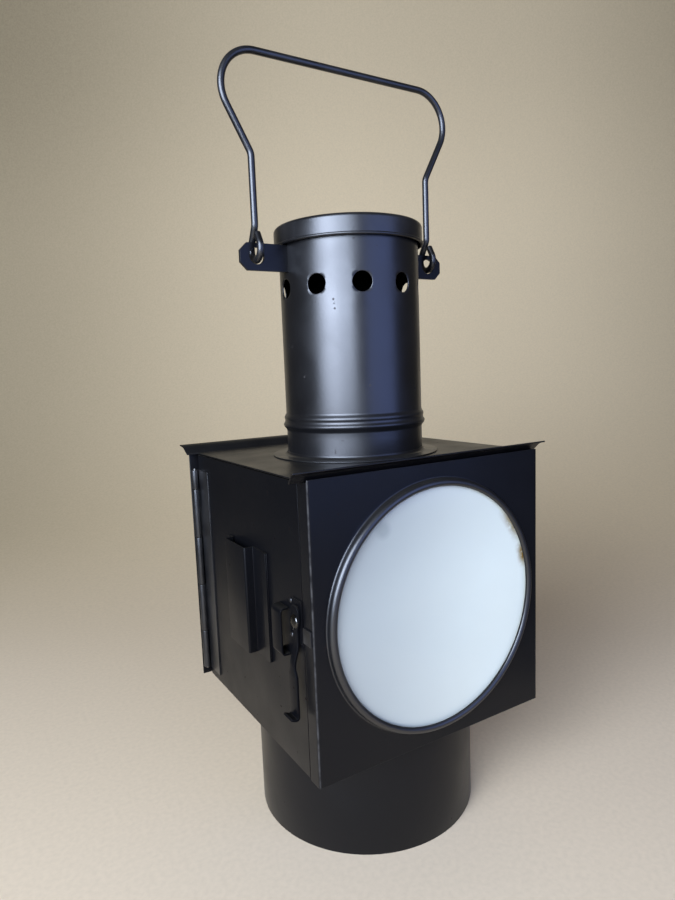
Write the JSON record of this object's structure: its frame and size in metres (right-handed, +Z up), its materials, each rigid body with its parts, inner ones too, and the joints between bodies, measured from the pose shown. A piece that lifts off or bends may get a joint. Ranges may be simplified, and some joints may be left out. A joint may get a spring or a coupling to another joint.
{
  "type": "railway signal lantern",
  "caption": "Square black sheet-metal signal lantern with a round milk-glass front, hinged side door, vented chimney, wire bail, socket collar and an oil lamp inside.",
  "frame": {"origin": "centre of the socket collar's mouth, at the lantern's lowest plane", "axes": "+Z up along the chimney, -Y out through the milk glass, -X out through the door"},
  "size_m": [0.254, 0.25, 0.6844],
  "materials": {
    "black_paint": "satin black paint with small chips and rubbed edges",
    "steel": "worn bright steel",
    "milk_glass": "opal glass, glossy, with faint rust stains at its rim",
    "seal": "dull",
    "brass": "dull, tarnished",
    "lamp_glass": "clear, glossy",
    "wick": "woven cotton, charred end"
  },
  "bodies": {
    "lantern": {"base_collar": "black_paint", "floor_plate": "black_paint", "front_panel": "black_paint", "right_wall": "black_paint", "rear_wall": "black_paint", "roof_plate": "black_paint", "milk_glass": "milk_glass", "glass_seal": "seal", "glass_ring": "black_paint", "glass_clips": "steel", "chimney_flange": "black_paint", "chimney_foot": "black_paint", "chimney_tube": "black_paint", "chimney_cap": "black_paint", "left_ear": "black_paint", "right_ear": "black_paint", "fixed_hinge_leaf": "black_paint", "hinge_pin": "steel", "wear_plate": "black_paint", "font_rails": "black_paint", "oil_font": "brass", "burner_collar": "brass", "burner_body": "brass", "gallery": "brass", "wick_tube": "brass", "flame_cone": "brass"},
    "door": {"door_panel": "black_paint", "door_hinge_leaf": "black_paint", "side_pocket": "black_paint", "pull_handle": "black_paint", "latch_plate": "black_paint", "latch_rivets": "black_paint"},
    "latch": {"latch_lever": "black_paint", "latch_stud": "steel", "latch_tongue": "steel"},
    "bail_handle": {"bail": "black_paint"},
    "filler": {"filler_cap": "brass"},
    "glass_chimney": {"lamp_glass": "lamp_glass"},
    "winder": {"wick_shaft": "brass", "wick_wheels": "brass", "wick_knob": "brass"},
    "flat_wick": {"wick": "wick"}
  },
  "joints": [
    {"name": "door_swing", "type": "hinge", "parent": "lantern", "child": "door", "pos_m": [-0.12197, 0.113, 0.217], "axis": [0, 0, -1], "range_deg": [0, 115]},
    {"name": "latch_turn", "type": "hinge", "parent": "door", "child": "latch", "pos_m": [-0.118, -0.095, 0.229], "axis": [-1, 0, 0], "range_deg": [0, 90]},
    {"name": "bail_swing", "type": "hinge", "parent": "lantern", "child": "bail_handle", "pos_m": [0, 0, 0.52194], "axis": [1, 0, 0], "range_deg": [-110, 110]},
    {"name": "filler_turn", "type": "hinge", "parent": "lantern", "child": "filler", "pos_m": [-0.036, -0.028, 0.15], "axis": [0, 0, 1], "range_deg": [0, 60]},
    {"name": "lamp_glass_lift", "type": "slide", "parent": "lantern", "child": "glass_chimney", "axis": [0, 0, 1], "range_m": [0, 0.03]},
    {"name": "winder_turn", "type": "hinge", "parent": "lantern", "child": "winder", "pos_m": [0, 0.00705, 0.1642], "axis": [-1, 0, 0], "range_deg": [-45, 45]},
    {"name": "wick_lift", "type": "slide", "parent": "lantern", "child": "flat_wick", "axis": [0, 0, 1], "range_m": [-0.0042, 0.0042]}
  ],
  "couplings": [
    {"joint": "wick_lift", "follows": "winder_turn", "m_per_rad": 0.0052}
  ]
}
